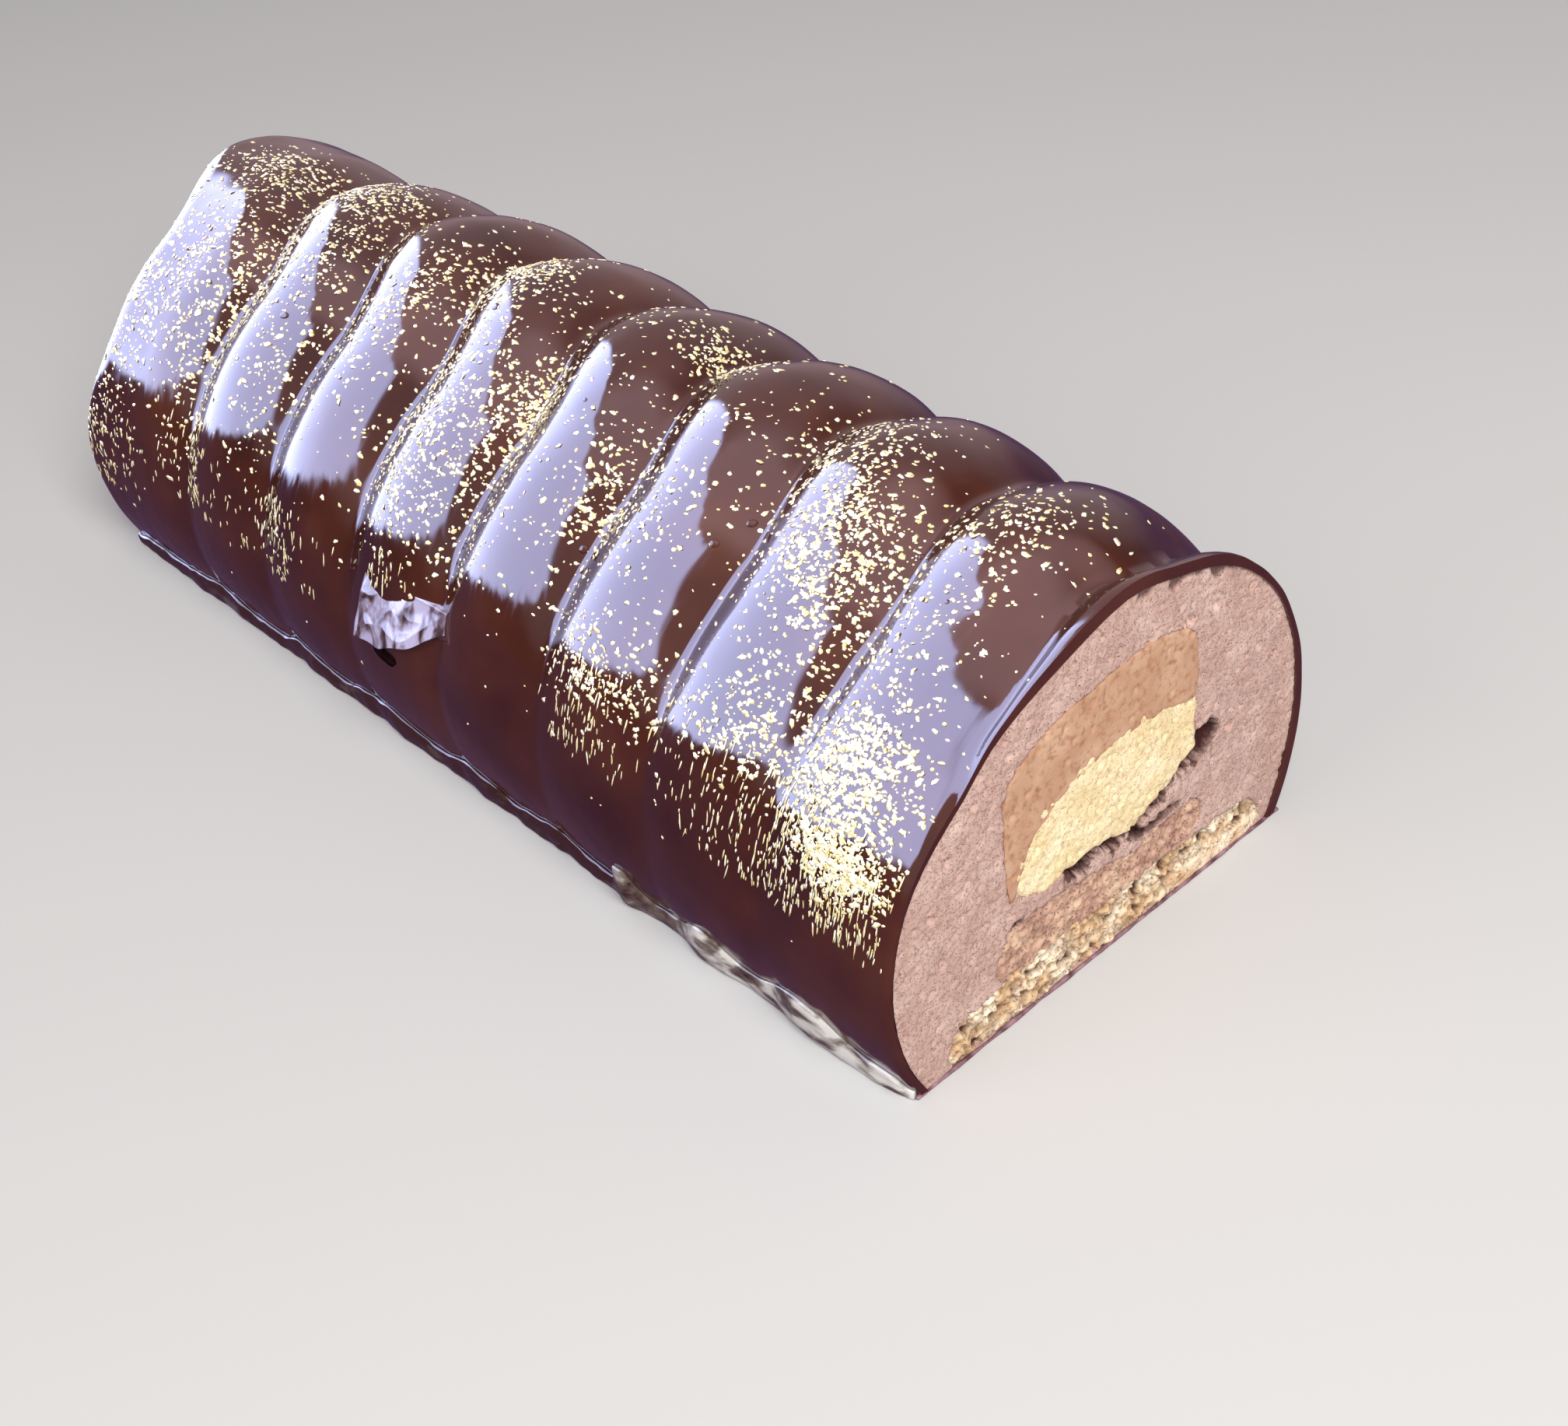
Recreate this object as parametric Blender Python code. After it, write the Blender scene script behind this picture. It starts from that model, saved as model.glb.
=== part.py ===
"""Yule log cake: a ridged mousse log under a chocolate glaze, cut square at one end to show its layers.

Metres, +Z up. +X runs along the log towards the cut, -Y is the side with the straight grooves, and
the log rests on z = 0 with the middle of its underside at the origin.
"""

import math

import bmesh
import bpy

# The whole log
CUT_X = 0.120
RADIUS = 0.047
AXIS_HEIGHT = 0.0221

# The upper far flank swells out past that radius, less so towards the two ends
SWELL = 0.0017
SWELL_ANGLES = (math.radians(0), math.radians(40))
END_TAPER = 0.0034
END_TAPER_FROM = (0.038, 0.098)
CUT_TAPER = 0.0013
CUT_TAPER_FROM = (0.068, CUT_X)

# The far end, with a rounded edge: its near flank stops short of its top and far flank
END_X_FOOT = -0.109
END_X_NEAR = -0.1005
END_X_FAR = -CUT_X
END_ROUNDING = 0.007
END_NEAR_ANGLES = (math.radians(0), math.radians(40))
END_FAR_ANGLES = (math.radians(60), math.radians(104))

# Grooves, one pitch apart from the one at the cut: straight on each flank, and swung towards the
# far end as they cross the top. The shifts are those of grooves 0, 1, 2 and so on, low on the far flank.
GROOVE_DEPTH_NEAR = 0.005
GROOVE_DEPTH_FAR = 0.0034
GROOVE_SOFTNESS = 0.10
PITCH_NEAR = 0.0269
PITCH_FAR = 0.0287
LAST_GROOVE_NEAR = CUT_X + 0.0001
LAST_GROOVE_FAR = CUT_X - 0.0042
SHIFTS = (-0.004, -0.004, -0.0015, 0.0, 0.0, 0.0, 0.0, -0.004, -0.004)
SWING_ANGLES = (math.radians(72), math.radians(106))
SHIFT_ANGLES = (math.radians(106), math.radians(130))
FADE_ANGLES = (math.radians(-8), math.radians(46))
FOOT_RELIEF = 0.12

# Glaze and the clearance between neighbours
GLAZE = 0.0018
MOUSSE_INSET = 0.0029
GAP = 0.0003

# Layers seen at the cut: sides (y), then heights (z)
INSERT_SIDES = (-0.0213, 0.0204)
INSERT_TOP = 0.0537
INSERT_CORNER = 0.0055
SEAM_HEIGHT = 0.0345
SEAM_RISE = 0.006
CREAM_BOTTOM = 0.0222
CREAM_CORNER = 0.0035
BISCUIT_SIDES = (-0.0236, 0.0226)
BISCUIT_HEIGHTS = (0.0101, 0.0175)
BISCUIT_CORNER = 0.0025
BASE_SIDES = (-0.0338, 0.0368)
BASE_TOP = 0.0096
BASE_CORNER = 0.003
INSERT_END_X = -0.090
BASE_END_X = -0.096
CUTTER_OVERRUN = 0.006

# Crevice under the cream
CREVICE_CENTRE = (CUT_X, 0.0150, 0.0212)
CREVICE_RADII = (0.008, 0.0105, 0.0024)
CREVICE_TILT = math.radians(9)

# Mesh steps
STEPS_AROUND = 18
STEPS_PER_PITCH = 8
STEPS_AT_CUT = 3
STEPS_AT_END = 4
STEPS_ROUNDING = 4
FIRST_ROW = 0.25
LAST_ROW = 7.5
ARC_STEPS = 4
ARCH_STEPS = 6

BODY_ROWS = round((LAST_ROW - FIRST_ROW) * STEPS_PER_PITCH)
ROWS = STEPS_AT_CUT + BODY_ROWS + STEPS_AT_END + STEPS_ROUNDING + 1


def mix(first, second, share):
    return first + (second - first) * share


def smooth(value, limits):
    """0 below the first limit, 1 above the second, and an S-curve between them."""
    share = min(1.0, max(0.0, (value - limits[0]) / (limits[1] - limits[0])))
    return share * share * (3 - 2 * share)


def swing(angle):
    """0 on the near flank and 1 on the far one, where the grooves lie nearer the far end."""
    return smooth(angle, SWING_ANGLES)


def relief(turns, angle):
    """Depth of the surface below the ridge tops, this many pitches from the groove at the cut."""
    ridge = math.sqrt(math.sin(math.pi * turns) ** 2 + GROOVE_SOFTNESS**2) - GROOVE_SOFTNESS
    ridge /= math.sqrt(1 + GROOVE_SOFTNESS**2) - GROOVE_SOFTNESS
    flank = smooth(min(angle, math.pi - angle), FADE_ANGLES)
    depth = mix(GROOVE_DEPTH_NEAR, GROOVE_DEPTH_FAR, swing(angle))
    return depth * mix(FOOT_RELIEF, 1.0, flank) * (1 - ridge)


def ridge_radius(x, angle):
    """Radius of the ridge tops: even on the near flank, and fullest in the middle of the far one."""
    taper = END_TAPER * smooth(-x, END_TAPER_FROM) + CUT_TAPER * smooth(x, CUT_TAPER_FROM)
    return RADIUS + (SWELL - taper) * swing(angle) * smooth(math.pi - angle, SWELL_ANGLES)


def end_x(angle):
    """Where the log ends, at this angle around it."""
    near = mix(END_X_FOOT, END_X_NEAR, smooth(angle, END_NEAR_ANGLES))
    return mix(near, END_X_FAR, smooth(angle, END_FAR_ANGLES))


def groove_x(turns, angle):
    """Place along the log, this many pitches from the groove at the cut."""
    side = swing(angle)
    first = min(int(turns), len(SHIFTS) - 2)
    shift = mix(SHIFTS[first], SHIFTS[first + 1], turns - first) * smooth(angle, SHIFT_ANGLES)
    pitch = mix(PITCH_NEAR, PITCH_FAR, side)
    return mix(LAST_GROOVE_NEAR, LAST_GROOVE_FAR, side) - turns * pitch + shift


def turns_at_cut(angle):
    """Pitches from the groove at the cut to the cut itself, below 0 where the groove lies before it."""
    return (groove_x(0.0, angle) - CUT_X) / mix(PITCH_NEAR, PITCH_FAR, swing(angle))


def row_place(row, angle, inset):
    """(x, groove turns, draw-in of the rounded end) of a row, counted from the cut."""
    rounding = END_ROUNDING - inset
    rounded_from = end_x(angle) + inset + rounding
    body_end = STEPS_AT_CUT + BODY_ROWS
    end_start = body_end + STEPS_AT_END
    if row <= STEPS_AT_CUT:
        share = row / STEPS_AT_CUT
        turns = mix(turns_at_cut(angle), FIRST_ROW, share)
        return mix(CUT_X, groove_x(FIRST_ROW, angle), share), turns, 0.0
    if row <= body_end:
        turns = FIRST_ROW + (row - STEPS_AT_CUT) / STEPS_PER_PITCH
        return groove_x(turns, angle), turns, 0.0
    if row <= end_start:
        share = (row - body_end) / STEPS_AT_END
        return mix(groove_x(LAST_ROW, angle), rounded_from, share), LAST_ROW, 0.0
    turn = (row - end_start) / STEPS_ROUNDING * math.pi / 2
    return rounded_from - rounding * math.sin(turn), LAST_ROW, rounding * (1 - math.cos(turn))


def skin_point(row, column, inset):
    """A point of the grooved surface, set in from the ridge tops by inset."""
    if row == ROWS:
        return mix(END_X_NEAR, END_X_FAR, 0.5) + inset, 0.0, 0.0
    around = column / STEPS_AROUND
    low = foot_angle(RADIUS)
    angle = mix(low, math.pi - low, around)
    x, turns, draw_in = row_place(row, angle, inset)
    radius = ridge_radius(x, angle) - inset - draw_in - relief(turns, angle)
    low = foot_angle(radius)
    angle = mix(low, math.pi - low, around)
    return x, -radius * math.cos(angle), max(0.0, AXIS_HEIGHT + radius * math.sin(angle))


def foot_angle(radius):
    """Angle, from the near side, at which a circle of this radius meets the ground."""
    return -math.asin(AXIS_HEIGHT / radius)


def skin_mesh(inset):
    """The grooved surface with its rounded far end, open below and at the cut."""
    mesh = bmesh.new()
    bmesh.ops.create_grid(mesh, x_segments=ROWS, y_segments=STEPS_AROUND, size=0.5)
    for vertex in mesh.verts:
        row = ROWS - round((vertex.co.x + 0.5) * ROWS)
        column = round((vertex.co.y + 0.5) * STEPS_AROUND)
        vertex.co = skin_point(row, column, inset)
    bmesh.ops.remove_doubles(mesh, verts=mesh.verts, dist=1e-6)
    return mesh


def close_skin(mesh):
    """Fills the cut and the underside of an open skin."""
    feet = [v for v in mesh.verts if v.is_boundary and v.co.x > CUT_X - 1e-6 and v.co.z < 1e-6]
    mesh.edges.new(feet)
    cut = [e for e in mesh.edges if all(v.co.x > CUT_X - 1e-6 for v in e.verts)]
    bmesh.ops.contextual_create(mesh, geom=cut)
    under = [e for e in mesh.edges if all(v.co.z < 1e-6 for v in e.verts)]
    bmesh.ops.contextual_create(mesh, geom=under)


def arc(centre, radius, start, end):
    """Points of an arc in the y-z plane, by degrees from +Y towards +Z."""
    points = []
    for step in range(ARC_STEPS + 1):
        turn = math.radians(mix(start, end, step / ARC_STEPS))
        points.append((centre[0] + radius * math.cos(turn), centre[1] + radius * math.sin(turn)))
    return points


def seam(grow):
    """The arched seam between the two halves of the insert, from its near side to its far side."""
    near, far = INSERT_SIDES[0] - grow, INSERT_SIDES[1] + grow
    points = []
    for step in range(ARCH_STEPS + 1):
        y = mix(near, far, step / ARCH_STEPS)
        points.append((y, SEAM_HEIGHT + SEAM_RISE * (1 - (y / INSERT_SIDES[0]) ** 2)))
    return points


def upper_outline(lift, grow=0.0):
    """The caramel half: an arched underside, upright sides and rounded shoulders."""
    near, far, top = INSERT_SIDES[0] - grow, INSERT_SIDES[1] + grow, INSERT_TOP + grow
    corner = INSERT_CORNER
    outline = [(y, z + lift) for y, z in seam(grow)]
    outline += arc((far - corner, top - corner), corner, 0, 90)
    outline += arc((near + corner, top - corner), corner, 90, 180)
    return outline


def block_outline(sides, heights, corner, low_corner=None):
    """A block with rounded corners; a low corner of 0 leaves its underside square."""
    (near, far), (low, high) = sides, heights
    outline = []
    if low_corner == 0:
        outline += [(near, low), (far, low)]
    else:
        outline += arc((near + corner, low + corner), corner, 180, 270)
        outline += arc((far - corner, low + corner), corner, 270, 360)
    outline += arc((far - corner, high - corner), corner, 0, 90)
    outline += arc((near + corner, high - corner), corner, 90, 180)
    return outline


def lower_outline(drop, grow=0.0):
    """The cream half: it fills the arch, and its lower corners are rounded."""
    near, far, low = INSERT_SIDES[0] - grow, INSERT_SIDES[1] + grow, CREAM_BOTTOM - grow
    corner = CREAM_CORNER
    outline = [(y, z - drop) for y, z in reversed(seam(grow))]
    outline += arc((near + corner, low + corner), corner, 180, 270)
    outline += arc((far - corner, low + corner), corner, 270, 360)
    return outline


def bar_mesh(outline, start_x, end_x):
    """A bar of this y-z outline between two places along the log."""
    mesh = bmesh.new()
    corners = [mesh.verts.new((start_x, y, z)) for y, z in outline]
    face = mesh.faces.new(corners)
    grown = bmesh.ops.extrude_face_region(mesh, geom=[face])
    moved = [item for item in grown["geom"] if isinstance(item, bmesh.types.BMVert)]
    bmesh.ops.translate(mesh, verts=moved, vec=(end_x - start_x, 0, 0))
    bmesh.ops.recalc_face_normals(mesh, faces=mesh.faces)
    return mesh


def crevice_mesh():
    """A flat, tilted hollow that opens at the cut."""
    mesh = bmesh.new()
    bmesh.ops.create_uvsphere(mesh, u_segments=16, v_segments=8, radius=1)
    bmesh.ops.scale(mesh, verts=mesh.verts, vec=CREVICE_RADII)
    sin, cos = math.sin(CREVICE_TILT), math.cos(CREVICE_TILT)
    for vertex in mesh.verts:
        x, y, z = vertex.co
        vertex.co = (
            CREVICE_CENTRE[0] + x,
            CREVICE_CENTRE[1] + y * cos - z * sin,
            CREVICE_CENTRE[2] + y * sin + z * cos,
        )
    return mesh


def make_material(name, colour, roughness):
    material = bpy.data.materials.new(name)
    material.use_nodes = True
    shader = material.node_tree.nodes["Principled BSDF"]
    shader.inputs["Base Color"].default_value = (*colour, 1.0)
    shader.inputs["Roughness"].default_value = roughness
    shader.inputs["Metallic"].default_value = 0.0
    material.diffuse_color = (*colour, 1.0)
    return material


def add_object(name, mesh, collection, material=None):
    data = bpy.data.meshes.new(name)
    mesh.to_mesh(data)
    mesh.free()
    item = bpy.data.objects.new(name, data)
    collection.objects.link(item)
    if material:
        data.materials.append(material)
        data.shade_smooth()
        data.set_sharp_from_angle(angle=math.radians(40))
    return item


def add_cutter(name, mesh, collection, target):
    cutter = add_object(name, mesh, collection)
    cutter.hide_render = True
    cutter.display_type = "WIRE"
    boolean = target.modifiers.new(name, "BOOLEAN")
    boolean.operation = "DIFFERENCE"
    boolean.solver = "EXACT"
    boolean.object = cutter


def build_glaze(parts):
    """The grooved surface and a copy of it set in by the glaze, joined along the cut and the foot."""
    mesh = skin_mesh(0.0)
    inner = skin_mesh(GLAZE)
    lining = bpy.data.meshes.new("lining")
    inner.to_mesh(lining)
    inner.free()
    mesh.from_mesh(lining)
    bpy.data.meshes.remove(lining)
    bmesh.ops.bridge_loops(mesh, edges=[edge for edge in mesh.edges if edge.is_boundary])
    bmesh.ops.recalc_face_normals(mesh, faces=mesh.faces)
    bmesh.ops.triangulate(mesh, faces=mesh.faces, quad_method="FIXED")
    add_object("glaze_coat", mesh, parts, make_material("dark_glaze", (0.045, 0.013, 0.010), 0.12))


def build_mousse(parts, cutters):
    mesh = skin_mesh(MOUSSE_INSET)
    bmesh.ops.triangulate(mesh, faces=mesh.faces, quad_method="FIXED")
    close_skin(mesh)
    mousse = add_object("mousse", mesh, parts, make_material("mousse", (0.50, 0.29, 0.24), 0.75))
    insert_end, base_end = INSERT_END_X - GAP, BASE_END_X - GAP
    open_x = CUT_X + CUTTER_OVERRUN
    sides = (INSERT_SIDES[0] - GAP, INSERT_SIDES[1] + GAP)
    heights = (CREAM_BOTTOM - GAP, INSERT_TOP + GAP)
    pocket = bar_mesh(block_outline(sides, heights, CREAM_CORNER), insert_end, open_x)
    add_cutter("insert_pocket", pocket, cutters, mousse)
    sides = (BISCUIT_SIDES[0] - GAP, BISCUIT_SIDES[1] + GAP)
    heights = (BASE_TOP - GAP, BISCUIT_HEIGHTS[1] + GAP)
    pocket = bar_mesh(block_outline(sides, heights, BISCUIT_CORNER, 0), insert_end, open_x)
    add_cutter("biscuit_pocket", pocket, cutters, mousse)
    sides = (BASE_SIDES[0] - GAP, BASE_SIDES[1] + GAP)
    heights = (-CUTTER_OVERRUN, BASE_TOP + GAP)
    pocket = bar_mesh(block_outline(sides, heights, BASE_CORNER, 0), base_end, open_x)
    add_cutter("base_pocket", pocket, cutters, mousse)
    add_cutter("crevice", crevice_mesh(), cutters, mousse)


def build_layers(parts):
    half_gap = GAP / 2
    caramel = bar_mesh(upper_outline(half_gap), INSERT_END_X, CUT_X)
    add_object("insert_caramel", caramel, parts, make_material("caramel", (0.55, 0.29, 0.14), 0.6))
    cream = bar_mesh(lower_outline(half_gap), INSERT_END_X, CUT_X)
    add_object("insert_cream", cream, parts, make_material("cream", (0.80, 0.66, 0.42), 0.65))
    outline = block_outline(BISCUIT_SIDES, BISCUIT_HEIGHTS, BISCUIT_CORNER)
    biscuit = bar_mesh(outline, INSERT_END_X, CUT_X)
    add_object("biscuit_band", biscuit, parts, make_material("biscuit", (0.38, 0.20, 0.13), 0.85))
    outline = block_outline(BASE_SIDES, (0.0, BASE_TOP), BASE_CORNER, 0)
    base = bar_mesh(outline, BASE_END_X, CUT_X)
    add_object("praline_base", base, parts, make_material("praline", (0.66, 0.46, 0.24), 0.8))


def main():
    for item in list(bpy.data.objects):
        bpy.data.objects.remove(item, do_unlink=True)
    parts = bpy.data.collections.new("yule_log_cake")
    cutters = bpy.data.collections.new("cutters")
    for collection in (parts, cutters):
        bpy.context.scene.collection.children.link(collection)
    build_glaze(parts)
    build_mousse(parts, cutters)
    build_layers(parts)


main()
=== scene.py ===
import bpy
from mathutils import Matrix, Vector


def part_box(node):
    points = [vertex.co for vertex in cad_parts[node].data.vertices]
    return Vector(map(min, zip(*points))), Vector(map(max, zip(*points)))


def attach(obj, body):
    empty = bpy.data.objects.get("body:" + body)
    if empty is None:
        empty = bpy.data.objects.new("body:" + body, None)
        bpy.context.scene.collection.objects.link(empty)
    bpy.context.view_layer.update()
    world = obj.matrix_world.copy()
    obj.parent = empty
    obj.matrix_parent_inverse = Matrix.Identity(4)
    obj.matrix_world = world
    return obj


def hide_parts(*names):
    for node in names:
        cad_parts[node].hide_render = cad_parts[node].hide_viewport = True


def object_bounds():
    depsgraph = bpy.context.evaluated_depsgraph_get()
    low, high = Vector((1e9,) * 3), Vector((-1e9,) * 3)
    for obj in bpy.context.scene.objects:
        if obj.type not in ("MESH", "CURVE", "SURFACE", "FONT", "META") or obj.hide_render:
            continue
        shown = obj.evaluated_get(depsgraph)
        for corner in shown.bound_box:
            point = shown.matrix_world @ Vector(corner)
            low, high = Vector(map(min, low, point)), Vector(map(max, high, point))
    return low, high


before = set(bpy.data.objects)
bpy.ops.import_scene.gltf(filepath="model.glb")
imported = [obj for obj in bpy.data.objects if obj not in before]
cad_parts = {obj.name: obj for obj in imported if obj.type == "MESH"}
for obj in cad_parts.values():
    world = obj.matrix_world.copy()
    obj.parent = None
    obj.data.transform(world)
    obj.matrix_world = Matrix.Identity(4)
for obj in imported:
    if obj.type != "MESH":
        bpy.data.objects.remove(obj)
cad_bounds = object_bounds()

"""Looks of the yule log cake: a glossy ridged glaze dusted with gold, and the layers at the cut.

+X runs along the log to the cut face, -Y is the flank with the straight grooves. An angle around the
log is 0 at the near flank, 90 degrees at the top and 180 at the far flank.
"""

import math
import random

import bmesh
import bpy
from mathutils import Matrix, Vector, bvhtree, kdtree, noise

MM = 0.001
BODY = "root"

# The glazed log, from the frame
CUT_X = cad_bounds[1].x
FAR_END_X = cad_bounds[0].x
RADIUS = cad_bounds[1].y
AXIS_HEIGHT = 22.1 * MM
SWELL = 1.7 * MM
SWELL_ANGLES = (0, 40)
END_TAPER = 3.4 * MM
END_TAPER_FROM = (38 * MM, 98 * MM)
CUT_TAPER = 1.3 * MM
CUT_TAPER_FROM = (68 * MM, CUT_X)
# The near flank is flatter towards the cut
CUT_FLAT = 3.0 * MM
CUT_FLAT_FROM = (20 * MM, CUT_X)
CUT_FLAT_ANGLES = (20, 56, 70, 104)
END_X_FOOT = FAR_END_X + 11 * MM
END_X_NEAR = FAR_END_X + 19.5 * MM
END_ROUNDING = 7 * MM
END_NEAR_ANGLES = (0, 40)
END_FAR_ANGLES = (60, 104)

# Its grooves, shallower towards the cut, above all on the near flank
GROOVE_DEPTH = 5.0 * MM
CUT_GROOVES = (2.4 * MM, 4.6 * MM)
CUT_GROOVE_ANGLES = (70, 100)
DEEP_FROM = 5
GROOVE_SOFTNESS = 0.022
PITCH_NEAR = 26.9 * MM
PITCH_FAR = 28.7 * MM
LAST_GROOVE_NEAR = CUT_X + 0.1 * MM
LAST_GROOVE_FAR = CUT_X - 4.2 * MM
SHIFTS = (-4, -4, -1.5, 0, 0, 0, 0, -4, -4)
SHIFT_ANGLES = (106, 130)
SWING_ANGLES = (60, 106)
FADE_ANGLES = (-20, 58)
FOOT_RELIEF = 0.12
LIP = 2.3 * MM
LIP_LIFT = 0.7 * MM
LIP_ANGLES = (40, 58, 92, 108)
FIRST_ROW = 0.25
LAST_ROW = 7.5

# Glaze: its thickness at the cut, from the near foot over the top to the far foot
GLAZE_ANGLES = (-20, 12, 50, 82, 112, 150, 200)
GLAZE_THICKNESS = (1.5, 0.9, 1.5, 2.9, 2.3, 1.3, 2.2)
RIM_ROUNDING = 0.35 * MM
MOUSSE_OVERLAP = 0.06 * MM
WALL_BEHIND_CUT = 6 * MM
WALL_SHARE = 0.92

# Cut face: the grid of each layer, and how far the layers' pockets are sunk in the mousse
FACE_GRID = 0.42 * MM
LAYER_GRID = 0.36 * MM
POCKET = 2.4 * MM
# Painted shade: how much darker the layers' edges and the mousse along the seams around them are painted
SEAM_SHADE = 0.10


def mix(first, second, share):
    return first + (second - first) * share


def smooth(value, limits):
    """0 below the first limit, 1 above the second, and an S-curve between them."""
    share = min(1.0, max(0.0, (value - limits[0]) / (limits[1] - limits[0])))
    return share * share * (3 - 2 * share)


def wave(x, y, z=0.0):
    return noise.noise(Vector((x, y, z)))


# ---------------------------------------------------------------- the shape of the log


def swing(angle):
    """0 on the near flank and 1 on the far one, where the grooves lie nearer the far end."""
    return smooth(angle, SWING_ANGLES)


def groove_depth(turns, angle):
    at_cut = mix(*CUT_GROOVES, smooth(angle, CUT_GROOVE_ANGLES))
    return mix(at_cut, GROOVE_DEPTH, math.sin(min(1.0, max(0.0, turns) / DEEP_FROM) * math.pi / 2))


def relief(turns, angle):
    """Depth of the surface below the ridge tops, this many pitches from the groove at the cut."""
    share = math.hypot(turns - round(turns), GROOVE_SOFTNESS) - GROOVE_SOFTNESS
    share /= math.hypot(0.5, GROOVE_SOFTNESS) - GROOVE_SOFTNESS
    flank = smooth(min(angle, 180 - angle), FADE_ANGLES)
    depth = groove_depth(turns, angle) * (1 - share * (2 - share))
    if turns < 0:
        return depth * flank - LIP_LIFT * smooth(-turns, (0.0, 0.09))
    return depth * mix(FOOT_RELIEF, 1.0, flank)


def ridge_radius(x, angle):
    taper = END_TAPER * smooth(-x, END_TAPER_FROM) + CUT_TAPER * smooth(x, CUT_TAPER_FROM)
    flat = smooth(angle, CUT_FLAT_ANGLES[:2]) * (1 - smooth(angle, CUT_FLAT_ANGLES[2:]))
    flat *= CUT_FLAT * smooth(x, CUT_FLAT_FROM)
    return RADIUS - flat + (SWELL - taper) * swing(angle) * smooth(180 - angle, SWELL_ANGLES)


def end_x(angle):
    near = mix(END_X_FOOT, END_X_NEAR, smooth(angle, END_NEAR_ANGLES))
    return mix(near, FAR_END_X, smooth(angle, END_FAR_ANGLES))


def groove_x(turns, angle):
    """Place along the log, this many pitches from the groove at the cut."""
    side = swing(angle)
    first = min(int(max(turns, 0.0)), len(SHIFTS) - 2)
    shift = mix(SHIFTS[first], SHIFTS[first + 1], turns - first) * MM * smooth(angle, SHIFT_ANGLES)
    lip = smooth(angle, LIP_ANGLES[:2]) * (1 - smooth(angle, LIP_ANGLES[2:]))
    shift -= LIP * lip * max(0.0, 1 - turns)
    return mix(LAST_GROOVE_NEAR, LAST_GROOVE_FAR, side) - turns * mix(PITCH_NEAR, PITCH_FAR, side) + shift


def foot_angle(radius):
    return -math.degrees(math.asin(min(1.0, AXIS_HEIGHT / radius)))


def unevenness(x, angle):
    """Small swells and runs of the poured glaze, outwards."""
    arc = RADIUS * math.radians(angle)
    lift = 0.16 * wave(x / 0.015, arc / 0.011, 3.1)
    lift += 0.045 * wave(x / 0.0045, arc / 0.005, 7.7)
    low = 1 - smooth(angle, (5, 55))
    lift += 0.07 * low * wave(x / 0.0028, arc / 0.03, 11.3)
    lift += 0.10 * smooth(angle, (55, 78)) * wave(x / 0.0065, arc / 0.0065, 15.2)
    return lift * MM


def foot_bead(x, height):
    """The glaze gathers in a wavy bead where it meets the board."""
    bead = (0.8 + 0.5 * wave(x / 0.010, 2.2) + 0.3 * wave(x / 0.004, 5.1)) * smooth(CUT_X - x, (0, 0.006))
    reach = (3.2 + 1.2 * wave(x / 0.014, 8.8)) * MM
    return max(0.0, bead) * MM * (1 - smooth(height, (0.0, reach)))


def glaze_thickness(angle):
    """Thickness of the poured glaze at this angle, in metres."""
    spans = zip(GLAZE_ANGLES, GLAZE_ANGLES[1:], GLAZE_THICKNESS, GLAZE_THICKNESS[1:])
    for low, high, first, second in spans:
        if angle <= high:
            return mix(first, second, smooth(angle, (low, high))) * MM
    return GLAZE_THICKNESS[-1] * MM


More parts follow.
